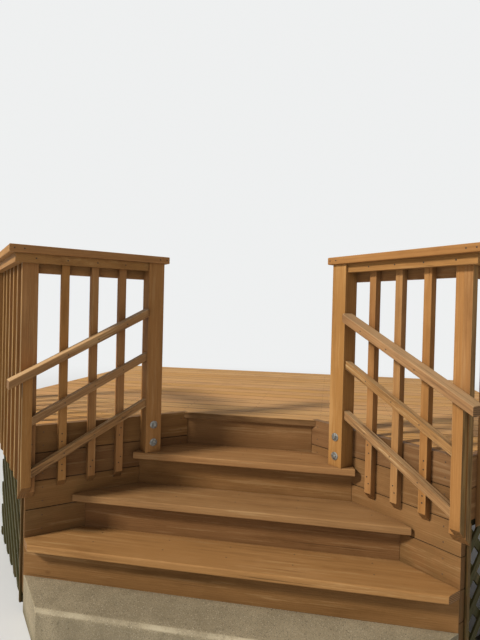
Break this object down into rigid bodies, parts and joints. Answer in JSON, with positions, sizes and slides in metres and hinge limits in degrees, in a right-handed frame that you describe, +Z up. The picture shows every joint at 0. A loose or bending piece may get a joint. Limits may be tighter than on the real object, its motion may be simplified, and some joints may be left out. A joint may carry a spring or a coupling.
{
  "type": "deck stairs",
  "caption": "Wooden deck stairs with a concrete first step in a splayed recess of a raised deck, with newels, sloping rails and a baluster guard",
  "frame": {"origin": "On the ground, on the centre line of the stairs, straight below the face of the lowest wooden riser", "axes": "Z up, +Y the way the stairs climb, X across; the object is symmetric about the plane X = 0"},
  "size_m": [3.585, 3.162, 1.864],
  "materials": {
    "concrete": "worn grey concrete with fine aggregate",
    "tread_wood": "brown stained softwood, worn",
    "riser_wood": "brown stained softwood",
    "wall_wood": "brown stained softwood, weathered",
    "framing_wood": "plain weathered softwood",
    "deck_wood": "brown stained softwood, worn",
    "guard_wood": "golden brown stained softwood",
    "cap_wood": "golden brown stained softwood, worn",
    "rail_wood": "golden brown stained softwood, worn edges",
    "lattice_wood": "weathered softwood with green algae"
  },
  "bodies": {
    "root": {"concrete_step": "concrete", "tread_1": "tread_wood", "tread_2": "tread_wood", "tread_3": "tread_wood", "riser_1": "riser_wood", "riser_2": "riser_wood", "riser_3": "riser_wood", "riser_4": "riser_wood", "stringers": "framing_wood", "left_wall_boards": "wall_wood", "right_wall_boards": "wall_wood", "left_return_boards": "wall_wood", "right_return_boards": "wall_wood", "stair_header": "framing_wood", "rim_joists": "framing_wood", "joists": "framing_wood", "deck_posts": "framing_wood", "deck_boards": "deck_wood", "left_newel": "guard_wood", "right_newel": "guard_wood", "left_end_newel": "guard_wood", "right_end_newel": "guard_wood", "left_wall_balusters": "guard_wood", "right_wall_balusters": "guard_wood", "left_return_balusters": "guard_wood", "right_return_balusters": "guard_wood", "left_wall_cap": "cap_wood", "right_wall_cap": "cap_wood", "left_return_cap": "cap_wood", "right_return_cap": "cap_wood", "left_outer_top_rail": "guard_wood", "right_outer_top_rail": "guard_wood", "left_inner_top_rail": "guard_wood", "right_inner_top_rail": "guard_wood", "left_handrail": "rail_wood", "right_handrail": "rail_wood", "left_lower_rails": "rail_wood", "right_lower_rails": "rail_wood", "left_corner_post": "guard_wood", "right_corner_post": "guard_wood", "left_lattice": "lattice_wood", "right_lattice": "lattice_wood"}
  },
  "joints": []
}
